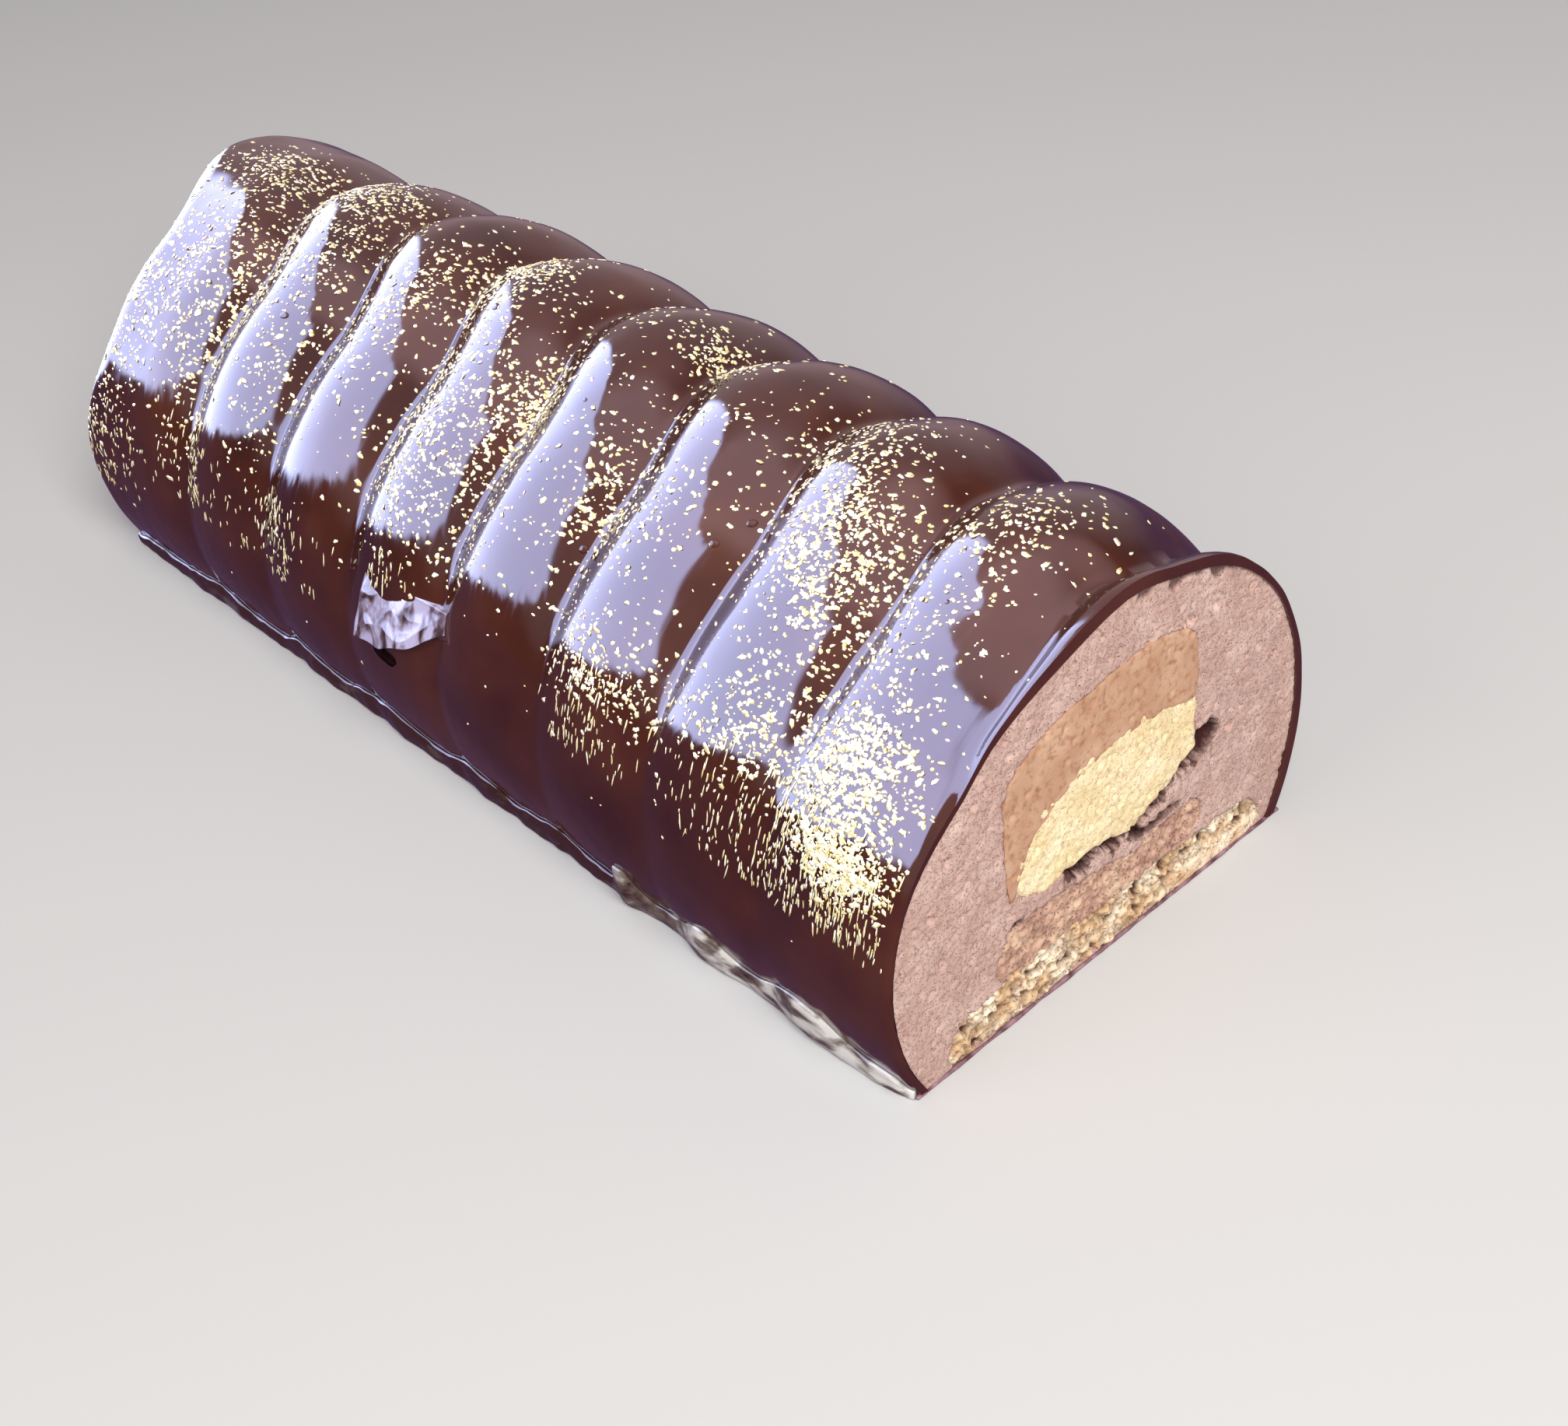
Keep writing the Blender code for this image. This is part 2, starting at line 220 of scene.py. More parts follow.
class Skin:
    """The grooved surface as rows along the log and columns around it."""

    def __init__(self, rows_per_pitch, columns, inside=False, fine=False, overlap=0.0):
        self.rows_per_pitch, self.columns, self.fine = rows_per_pitch, columns, fine
        self.inside, self.overlap = inside, overlap
        self.at_cut = max(3, rows_per_pitch // 4)
        self.body = self.at_cut + round((LAST_ROW - FIRST_ROW) * rows_per_pitch)
        self.end = self.body + max(4, rows_per_pitch // 2)
        self.rounded = self.end + max(4, rows_per_pitch // 4)
        self.rows = self.rounded + max(2, rows_per_pitch // 3)

    def inset(self, angle):
        return glaze_thickness(angle) - self.overlap if self.inside else 0.0

    def place(self, row, angle):
        """(x, groove turns, draw-in of the rounded end) of a row, counted from the cut."""
        rounding = END_ROUNDING - self.inset(angle)
        rounded_from = end_x(angle) + END_ROUNDING
        if row <= self.at_cut:
            share = (row / self.at_cut) ** 1.5
            start = (groove_x(0.0, angle) - CUT_X) / mix(PITCH_NEAR, PITCH_FAR, swing(angle))
            rim = RIM_ROUNDING * (1 - smooth(row, (0, 3))) if self.fine else 0.0
            return mix(CUT_X, groove_x(FIRST_ROW, angle), share), mix(start, FIRST_ROW, share), rim
        if row <= self.body:
            turns = FIRST_ROW + (row - self.at_cut) / self.rows_per_pitch
            return groove_x(turns, angle), turns, 0.0
        if row <= self.end:
            share = (row - self.body) / (self.end - self.body)
            return mix(groove_x(LAST_ROW, angle), rounded_from, share), LAST_ROW, 0.0
        turn = min(1.0, (row - self.end) / (self.rounded - self.end)) * math.pi / 2
        return rounded_from - rounding * math.sin(turn), LAST_ROW, rounding * (1 - math.cos(turn))

    def point(self, row, column):
        low = foot_angle(RADIUS)
        angle = mix(low, 180 - low, column / self.columns)
        x, turns, draw_in = self.place(row, angle)
        radius = ridge_radius(x, angle) - self.inset(angle) - draw_in - relief(turns, angle)
        if self.fine:
            radius += unevenness(x, angle)
            height = max(0.0, AXIS_HEIGHT + radius * math.sin(math.radians(angle)))
            radius += foot_bead(x, height)
        low = foot_angle(radius)
        angle = math.radians(mix(low, 180 - low, column / self.columns))
        spot = Vector((x, -radius * math.cos(angle), max(0.0, AXIS_HEIGHT + radius * math.sin(angle))))
        if row > self.rounded:
            middle = Vector((mix(END_X_NEAR, FAR_END_X, 0.5) + self.inset(0), 0.0, 0.0))
            spot = spot.lerp(middle, (row - self.rounded) / (self.rows - self.rounded))
        return spot

    def mesh(self):
        mesh = bmesh.new()
        bmesh.ops.create_grid(mesh, x_segments=self.rows, y_segments=self.columns, size=0.5)
        for vertex in mesh.verts:
            row = self.rows - round((vertex.co.x + 0.5) * self.rows)
            vertex.co = self.point(row, round((vertex.co.y + 0.5) * self.columns))
        bmesh.ops.remove_doubles(mesh, verts=mesh.verts, dist=1e-6)
        return mesh


def add_piece(name, mesh, material, replaced=(), sharp=None):
    data = bpy.data.meshes.new(name)
    mesh.to_mesh(data)
    mesh.free()
    data.materials.append(material)
    data.shade_smooth()
    if sharp:
        data.set_sharp_from_angle(angle=math.radians(sharp))
    piece = bpy.data.objects.new(name, data)
    bpy.context.scene.collection.objects.link(piece)
    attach(piece, BODY)
    if replaced:
        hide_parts(*replaced)
    return piece


def join(mesh, other):
    data = bpy.data.meshes.new("joined")
    other.to_mesh(data)
    other.free()
    mesh.from_mesh(data)
    bpy.data.meshes.remove(data)


# ---------------------------------------------------------------- materials


def new_material(name):
    material = bpy.data.materials.new(name)
    material.use_nodes = True
    return material, material.node_tree, material.node_tree.nodes["Principled BSDF"]


def add_node(tree, kind, **values):
    """A node with its settings; a value whose name starts with in_ goes on that numbered socket."""
    node = tree.nodes.new(kind)
    for name, value in values.items():
        if name.startswith("in_"):
            node.inputs[int(name[3:])].default_value = value
        else:
            setattr(node, name, value)
    return node


def ramp(tree, source, stops):
    """A colour ramp over the source, from (position, colour or grey) stops."""
    node = tree.nodes.new("ShaderNodeValToRGB")
    elements = node.color_ramp.elements
    while len(elements) < len(stops):
        elements.new(1.0)
    for element, (position, colour) in zip(elements, stops):
        element.position = position
        element.color = (*colour, 1) if isinstance(colour, tuple) else (colour, colour, colour, 1)
    tree.links.new(source, node.inputs["Fac"])
    return node.outputs["Color"]


def crumb_group():
    """Mottled colour with fine pores, the pores painted darker as painted shade, for everything that the knife cut
    through.
    """
    group = bpy.data.node_groups.new("crumb", "ShaderNodeTree")
    for name, kind, value in (
        ("Colour", "NodeSocketColor", (0.5, 0.5, 0.5, 1)),
        ("Pale", "NodeSocketColor", (0.6, 0.6, 0.6, 1)),
        ("Dark", "NodeSocketColor", (0.3, 0.3, 0.3, 1)),
        ("Scale", "NodeSocketFloat", 500.0),
        ("Pores", "NodeSocketFloat", 0.5),
    ):
        socket = group.interface.new_socket(name, in_out="INPUT", socket_type=kind)
        socket.default_value = value
    group.interface.new_socket("Colour", in_out="OUTPUT", socket_type="NodeSocketColor")
    group.interface.new_socket("Height", in_out="OUTPUT", socket_type="NodeSocketFloat")
    start, end = group.nodes.new("NodeGroupInput"), group.nodes.new("NodeGroupOutput")
    place = group.nodes.new("ShaderNodeTexCoord").outputs["Object"]

    patches = add_node(group, "ShaderNodeTexNoise", in_2=160.0, in_3=4.0)
    grain = add_node(group, "ShaderNodeTexNoise", in_3=5.0, in_4=0.65)
    pores = add_node(group, "ShaderNodeTexVoronoi")
    finer = add_node(group, "ShaderNodeMath", operation="MULTIPLY", in_1=1.7)
    for node in (patches, grain, pores):
        group.links.new(place, node.inputs["Vector"])
    group.links.new(start.outputs["Scale"], grain.inputs["Scale"])
    group.links.new(start.outputs["Scale"], finer.inputs[0])
    group.links.new(finer.outputs[0], pores.inputs["Scale"])

    pale = add_node(group, "ShaderNodeMix", data_type="RGBA")
    group.links.new(ramp(group, patches.outputs["Fac"], ((0.40, 0.0), (0.66, 1.0))), pale.inputs[0])
    group.links.new(start.outputs["Colour"], pale.inputs[6])
    group.links.new(start.outputs["Pale"], pale.inputs[7])
    dark = add_node(group, "ShaderNodeMix", data_type="RGBA")
    group.links.new(ramp(group, grain.outputs["Fac"], ((0.30, 1.0), (0.50, 0.0))), dark.inputs[0])
    group.links.new(pale.outputs[2], dark.inputs[6])
    group.links.new(start.outputs["Dark"], dark.inputs[7])

    # The pores are sunk in the height and also darkened towards the Dark colour: painted shade in the pores. The Dark
    # colour also gives the crumb its own darker mottling.
    hole = ramp(group, pores.outputs["Distance"], ((0.10, 1.0), (0.34, 0.0)))
    depth = add_node(group, "ShaderNodeMath", operation="MULTIPLY")
    group.links.new(hole, depth.inputs[0])
    group.links.new(start.outputs["Pores"], depth.inputs[1])
    pores_painted_dark = add_node(group, "ShaderNodeMix", data_type="RGBA")
    group.links.new(depth.outputs[0], pores_painted_dark.inputs[0])
    group.links.new(dark.outputs[2], pores_painted_dark.inputs[6])
    group.links.new(start.outputs["Dark"], pores_painted_dark.inputs[7])
    height = add_node(group, "ShaderNodeMath", operation="SUBTRACT")
    group.links.new(grain.outputs["Fac"], height.inputs[0])
    group.links.new(depth.outputs[0], height.inputs[1])
    group.links.new(pores_painted_dark.outputs[2], end.inputs["Colour"])
    group.links.new(height.outputs[0], end.inputs["Height"])
    return group


def crumb_material(name, colour, pale, dark, shadow, scale, pores, bump, roughness, group):
    """A cut layer: the mottled crumb, mixed towards the shadow colour where the piece's shade attribute paints shade.
    """
    material, tree, shader = new_material(name)
    crumb = add_node(tree, "ShaderNodeGroup", node_tree=group)
    for socket, value in (("Colour", colour), ("Pale", pale), ("Dark", dark)):
        crumb.inputs[socket].default_value = (*value, 1)
    crumb.inputs["Scale"].default_value = scale
    crumb.inputs["Pores"].default_value = pores
    # Painted shade: the shade attribute mixes the colour towards the shadow colour in seams, gaps, holes and between
    # crumbs.
    shade = add_node(tree, "ShaderNodeAttribute", attribute_name="shade")
    painted_shade_mix = add_node(tree, "ShaderNodeMix", data_type="RGBA")
    painted_shade_mix.inputs[7].default_value = (*shadow, 1)
    tree.links.new(shade.outputs["Fac"], painted_shade_mix.inputs[0])
    tree.links.new(crumb.outputs["Colour"], painted_shade_mix.inputs[6])
    tree.links.new(painted_shade_mix.outputs[2], shader.inputs["Base Color"])
    relief_node = add_node(tree, "ShaderNodeBump")
    relief_node.inputs["Strength"].default_value = bump
    relief_node.inputs["Distance"].default_value = 0.3 * MM
    tree.links.new(crumb.outputs["Height"], relief_node.inputs["Height"])
    tree.links.new(relief_node.outputs["Normal"], shader.inputs["Normal"])
    shader.inputs["Roughness"].default_value = roughness
    shader.inputs["IOR"].default_value = 1.4
    return material


def glaze_material():
    """Dark mirror glaze, a little redder in soft noise clouds."""
    material, tree, shader = new_material("dark_glaze")
    place = add_node(tree, "ShaderNodeTexCoord").outputs["Object"]
    clouds = add_node(tree, "ShaderNodeTexNoise", in_2=55.0, in_3=3.0)
    tree.links.new(place, clouds.inputs["Vector"])
    colour = ramp(
        tree,
        clouds.outputs["Fac"],
        ((0.30, (0.034, 0.0080, 0.0065)), (0.55, (0.054, 0.0140, 0.0090)), (0.75, (0.074, 0.022, 0.0120))),
    )
    tree.links.new(colour, shader.inputs["Base Color"])
    streaks = add_node(tree, "ShaderNodeTexNoise", in_2=1.0, in_3=4.0)
    along = add_node(tree, "ShaderNodeUVMap", uv_map="over_the_log")
    stretch = add_node(tree, "ShaderNodeMapping")
    stretch.inputs["Scale"].default_value = (900, 90, 1)
    tree.links.new(along.outputs["UV"], stretch.inputs["Vector"])
    tree.links.new(stretch.outputs["Vector"], streaks.inputs["Vector"])
    rough = ramp(tree, streaks.outputs["Fac"], ((0.35, 0.06), (0.62, 0.11), (0.80, 0.24)))
    tree.links.new(rough, shader.inputs["Roughness"])
    shader.inputs["IOR"].default_value = 1.58
    return material


def gold_material():
    material, tree, shader = new_material("gold_dust")
    place = add_node(tree, "ShaderNodeTexCoord").outputs["Object"]
    tone = add_node(tree, "ShaderNodeTexNoise", in_2=900.0, in_3=2.0)
    tree.links.new(place, tone.inputs["Vector"])
    colour = ramp(
        tree, tone.outputs["Fac"], ((0.35, (0.82, 0.66, 0.28)), (0.50, (0.96, 0.87, 0.52)), (0.65, (1.0, 0.97, 0.78)))
    )
    tree.links.new(colour, shader.inputs["Base Color"])
    shader.inputs["Metallic"].default_value = 0.25
    shader.inputs["Roughness"].default_value = 0.32
    return material


def mottled_material(name, dark, pale, scale, roughness):
    material, tree, shader = new_material(name)
    place = add_node(tree, "ShaderNodeTexCoord").outputs["Object"]
    tone = add_node(tree, "ShaderNodeTexNoise", in_2=scale, in_3=3.0)
    tree.links.new(place, tone.inputs["Vector"])
    tree.links.new(ramp(tree, tone.outputs["Fac"], ((0.35, dark), (0.65, pale))), shader.inputs["Base Color"])
    shader.inputs["Roughness"].default_value = roughness
    return material


# ---------------------------------------------------------------- the cut face


class Outline:
    """A closed outline on the cut through a few (y, z) points, with an uneven edge."""

    STEPS = 14

    def __init__(self, points, box=None, ragged=0.0, grain=2.5 * MM, seed=0.0):
        spots = [Vector((y, z)) * MM for y, z in points]
        if box:
            low = Vector((min(s.x for s in spots), min(s.y for s in spots)))
            high = Vector((max(s.x for s in spots), max(s.y for s in spots)))
            spots = [
                Vector((
                    mix(box[0].y, box[1].y, (s.x - low.x) / (high.x - low.x)),
                    mix(box[0].z, box[1].z, (s.y - low.y) / (high.y - low.y)),
                ))
                for s in spots
            ]
        smoothed = []
        count = len(spots)
        for index in range(count):
            before, start, end, after = (spots[(index + step) % count] for step in (-1, 0, 1, 2))
            for step in range(self.STEPS):
                t = step / self.STEPS
                curve = (start * 2 + (end - before) * t + (before * 2 - start * 5 + end * 4 - after) * t * t)
                curve += (start * 3 - before - end * 3 + after) * t * t * t
                smoothed.append(curve / 2)
        self.samples = []
        count = len(smoothed)
        for index, spot in enumerate(smoothed):
            along = (smoothed[(index + 1) % count] - smoothed[index - 1]).normalized()
            push = wave(spot.x / grain, spot.y / grain, seed) + 0.5 * wave(spot.x / grain * 3, spot.y / grain * 3, seed)
            spot = spot + Vector((along.y, -along.x)) * push * ragged
            self.samples.append(Vector((spot.x, max(0.0, spot.y))))
        area = sum(a.x * b.y - b.x * a.y for a, b in zip(self.samples, self.samples[1:] + self.samples[:1]))
        self.turn = 1 if area > 0 else -1
        self.find = kdtree.KDTree(count)
        for index, spot in enumerate(self.samples):
            self.find.insert((spot.x, spot.y, 0), index)
        self.find.balance()
        ys, zs = [s.x for s in self.samples], [s.y for s in self.samples]
        self.box = min(ys), min(zs), max(ys), max(zs)

    def nearest(self, y, z):
        """(distance beyond the outline, negative inside; the nearest place on it)."""
        _, index, _ = self.find.find((y, z, 0))
        spot = Vector((y, z))
        count = len(self.samples)
        best = None
        for first in (index - 1, index):
            start, end = self.samples[first], self.samples[(first + 1) % count]
            along = end - start
            share = (spot - start).dot(along) / max(along.length_squared, 1e-18)
            near = start + along * min(1.0, max(0.0, share))
            away = (spot - near).length
            if best is None or away < best:
                if not 0 < share < 1:
                    along = self.samples[(index + 1) % count] - self.samples[index - 1]
                best, place, run = away, near, along
        side = run.x * (spot.y - place.y) - run.y * (spot.x - place.x)
        left, low, right, high = self.box
        inside = side * self.turn > 0 and left < y < right and low < z < high
        return (-best if inside else best), place


def sheet_in(outline, spacing):
    """A fine flat sheet at the cut that fills the outline."""
    left, low, right, high = outline.box
    wide, tall = right - left + 2 * spacing, high - low + 2 * spacing
    mesh = bmesh.new()
    bmesh.ops.create_grid(mesh, x_segments=round(wide / spacing), y_segments=round(tall / spacing), size=0.5)
    outside = []
    for vertex in mesh.verts:
        y, z = left - spacing + wide * (vertex.co.x + 0.5), low - spacing + tall * (vertex.co.y + 0.5)
        vertex.co = (CUT_X, y, max(0.0, z))
        if outline.nearest(y, z)[0] > 0.45 * spacing:
            outside.append(vertex)
    bmesh.ops.delete(mesh, geom=outside, context="VERTS")
    bmesh.ops.delete(mesh, geom=[v for v in mesh.verts if not v.link_faces], context="VERTS")
    bmesh.ops.delete(mesh, geom=[e for e in mesh.edges if not e.link_faces], context="EDGES")
    for vertex in [v for v in mesh.verts if v.is_boundary]:
        place = outline.nearest(vertex.co.y, vertex.co.z)[1]
        vertex.co = (CUT_X, place.x, place.y)
    bmesh.ops.remove_doubles(mesh, verts=mesh.verts, dist=0.02 * MM)
    return mesh


def draw_back(mesh, back_x):
    """Draws the sheet's edge back into the cake and closes it there."""
    edges = [edge for edge in mesh.edges if edge.is_boundary]
    drawn = bmesh.ops.extrude_edge_only(mesh, edges=edges)["geom"]
    for vertex in [item for item in drawn if isinstance(item, bmesh.types.BMVert)]:
        vertex.co.x = back_x
    ends = [item for item in drawn if isinstance(item, bmesh.types.BMEdge) and item.is_boundary]
    bmesh.ops.contextual_create(mesh, geom=ends)
    bmesh.ops.recalc_face_normals(mesh, faces=mesh.faces)


def pits(y, z, cell, size, seed):
    """Depth of round pores of many sizes, cut open."""
    near = noise.voronoi(Vector((y / cell, z / cell, seed)))[0][0]
    return cell * math.sqrt(max(0.0, size * size - near * near))


def lumps(y, z, cell, seed):
    """0 in the gaps between crumbs and about 1 on top of them."""
    first, second = noise.voronoi(Vector((y / cell, z / cell, seed)))[0][:2]
    return min(1.0, (second - first) * 2.2)


def carve(mesh, outline, depth, edge=0.14 * MM, round_over=0.45 * MM):
    """Sinks the sheet by depth(y, z) -> (metres, painted shade), rounds it over at its edge and paints shade along that
    edge.
    """
    shade = mesh.verts.layers.float.new("shade")
    for vertex in mesh.verts:
        y, z = vertex.co.y, vertex.co.z
        inside = -outline.nearest(y, z)[0]
        sunk, dark = depth(y, z)
        near_edge = 1 - smooth(inside, (0.0, round_over))
        vertex.co.x = CUT_X - sunk - edge * near_edge
        # Painted shade: darker along the rounded edge.
        vertex[shade] = min(1.0, dark + SEAM_SHADE * near_edge)


CARAMEL_POINTS = (
    (-21.2, 26.5), (-21.5, 33.5), (-21.4, 45), (-19, 48), (-12.5, 51.6), (-4, 53), (8, 53.9), (14, 53.3),
    (18.6, 51.2), (20.4, 47), (20.5, 38.2), (16, 38.8), (10, 39.8), (3, 40.2), (-3, 39.6), (-9, 37.6),
    (-13, 35.6), (-16.5, 32.5), (-18.0, 29.0), (-19.6, 25.2), (-20.6, 24.6),
)
CREAM_POINTS = (
    (-19.0, 31.4), (-19.4, 26), (-17.3, 23.3), (-12.7, 22), (-8.7, 22.4), (-2, 22.8),
    (3.3, 21.5), (6.7, 20.9), (10, 22.8), (14.7, 24.2), (17.3, 26.4), (20.4, 27.6), (20.4, 32),
    (20.2, 39.0), (16, 40.2), (10, 41.2), (3, 41.6), (-3, 41.0), (-9, 39.4), (-13, 38.0), (-17.4, 35.4),
)
BISCUIT_POINTS = (
    (-24, 12.7), (-22.5, 16), (-20, 18.4), (-13, 18.8), (-7.3, 18.5), (2, 16.8), (6.7, 15.6), (14, 16.8),
    (20, 17.2), (22.9, 15.2), (22.8, 12), (18, 9.4), (4, 9.0), (-14, 9.2), (-22, 9.9),
)
PRALINE_POINTS = (
    (-34, 0.4), (-34, 5.6), (-32.7, 8), (-27.3, 9.3), (-16.7, 10), (-4, 9.8), (10, 10), (23.3, 9.4),
    (32.7, 8.6), (36.8, 6), (36.6, 0.3), (18, 0), (0, 0), (-18, 0),
)
# The ragged gap under the cream, sunk deep and painted dark as painted shade: from and to across the cut, and how low
# it may reach
GAP_SIDES = (-9.5 * MM, 25 * MM)
GAP_WIDTH = 2.3 * MM
GAP_BELOW = 31 * MM
# Where the mousse tore away under the glaze at the top, sunk and painted dark as painted shade
TORN_ABOVE = (0.040, 0.048)
TORN_SIDES = (0.002, 0.006, -0.030, -0.026)
# Hollows in the mousse as (y, z) outlines in mm, sunk deep and painted dark as painted shade
HOLLOWS = (
    ((4.6, 18.9), (7, 19.8), (10, 19.0), (14, 19.6), (18.4, 18.6), (15, 17.8), (10, 17.0), (7, 17.6)),
    ((19.6, 26.0), (21, 28.2), (24.0, 31.4), (25.0, 30.6), (26.8, 28.9), (25.6, 26.8), (23, 24.8)),
    ((-22.0, 17.0), (-21.2, 19.4), (-18.0, 20.0), (-18.2, 19.0), (-20.6, 17.6)),
    ((11.6, 11.6), (13, 12.4), (14.6, 11.8), (13.2, 10.8)),
)


def face_outlines():
    return {
        "insert_caramel": Outline(CARAMEL_POINTS, None, 0.45 * MM, 2.4 * MM, 1.3),
        "insert_cream": Outline(CREAM_POINTS, None, 0.35 * MM, 2.5 * MM, 4.1),
        "biscuit_band": Outline(BISCUIT_POINTS, None, 0.8 * MM, 2.2 * MM, 7.9),
        "praline_base": Outline(PRALINE_POINTS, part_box("praline_base"), 0.7 * MM, 2 * MM, 2.2),
    }


def build_layers(outlines, crumb):
    def caramel(y, z):
        return (0.22 + 0.10 * wave(y / 0.004, z / 0.004, 9.1)) * MM + 0.5 * pits(y, z, 0.0034, 0.20, 1.1), 0.0

    def cream(y, z):
        rough = 1 - smooth(z, (0.026, 0.036))
        bumps = (0.10 + 0.14 * rough) * wave(y / 0.0016, z / 0.0016, 3.3) + 0.10 * wave(y / 0.006, z / 0.006, 5.0)
        return (0.28 + bumps) * MM + 0.7 * pits(y, z, 0.0019, 0.30, 2.1), 0.0

    def biscuit(y, z):
        grit = lumps(y + 0.0008 * wave(y / 0.002, z / 0.002), z, 0.0021, 5.5)
        sunk = 0.75 - 0.40 * grit + 0.35 * wave(y / 0.0010, z / 0.0010, 8.2) + 0.2 * wave(y / 0.004, z / 0.004, 1.2)
        # Painted shade: darker in the gaps between the crumbs, where the sheet is also sunk deeper.
        return max(0.05, sunk) * MM, 0.50 * (1 - grit) ** 1.5 * (0.6 + wave(y / 0.003, z / 0.003, 3.0))

    def praline(y, z):
        bent_y, bent_z = y + 0.0012 * wave(y / 0.0016, z / 0.0016, 2.0), z + 0.0010 * wave(y / 0.0014, z / 0.0014, 7.0)
        grit = lumps(bent_y * 0.7, bent_z * 1.25, 0.0021, 6.6)
        flat = smooth(y, (0.014, 0.018)) * (1 - smooth(z, (0.0030, 0.0038)))
        holes = smooth(wave(y / 0.0032, z / 0.0026, 9.9) + 0.3 * wave(y / 0.001, z / 0.001, 4.4), (0.22, 0.42))
        sunk = 0.95 - 0.65 * grit + 0.45 * wave(y / 0.0009, z / 0.0009, 1.2) + 1.2 * holes
        # Painted shade: darker between the crumbs and in the holes, which are also sunk deeper.
        dark = max(0.5 * (1 - grit) ** 1.5, holes)
        return mix(max(0.05, sunk), 0.35, flat) * MM, mix(dark, 0.0, flat)

    finishes = {
        "insert_caramel": (
            caramel, "caramel", (0.47, 0.265, 0.165), (0.57, 0.36, 0.24), (0.33, 0.150, 0.075),
            (0.22, 0.09, 0.045), 700, 0.15, 0.30, 0.42,
        ),
        "insert_cream": (
            cream, "vanilla_cream", (0.77, 0.62, 0.36), (0.86, 0.74, 0.50), (0.55, 0.38, 0.18),
            (0.42, 0.22, 0.09), 1100, 0.45, 0.70, 0.60,
        ),
        "biscuit_band": (
            biscuit, "biscuit", (0.50, 0.30, 0.225), (0.68, 0.47, 0.33), (0.27, 0.130, 0.090),
            (0.09, 0.030, 0.020), 900, 0.6, 0.9, 0.70,
        ),
        "praline_base": (
            praline, "praline", (0.68, 0.46, 0.26), (0.98, 0.88, 0.68), (0.34, 0.15, 0.07),
            (0.06, 0.02, 0.012), 900, 0.5, 0.9, 0.42,
        ),
    }
    for name, (depth, finish, colour, pale, dark, shadow, scale, pores, bump, roughness) in finishes.items():
        mesh = sheet_in(outlines[name], LAYER_GRID)
        carve(mesh, outlines[name], depth)
        draw_back(mesh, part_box(name)[0].x)
        material = crumb_material(finish, colour, pale, dark, shadow, scale, pores, bump, roughness, crumb)
        add_piece(name + "_cut", mesh, material, [name], sharp=70)


def rim_outline():
    """The inner edge of the glaze at the cut, closed along the board."""
    skin = Skin(12, 48, inside=True, overlap=MOUSSE_OVERLAP)
    arch = [skin.point(0, column) for column in range(49)]
    floor = [arch[-1].lerp(arch[0], step / 8) for step in range(1, 8)]
    return Outline([(spot.y / MM, spot.z / MM) for spot in arch + floor])


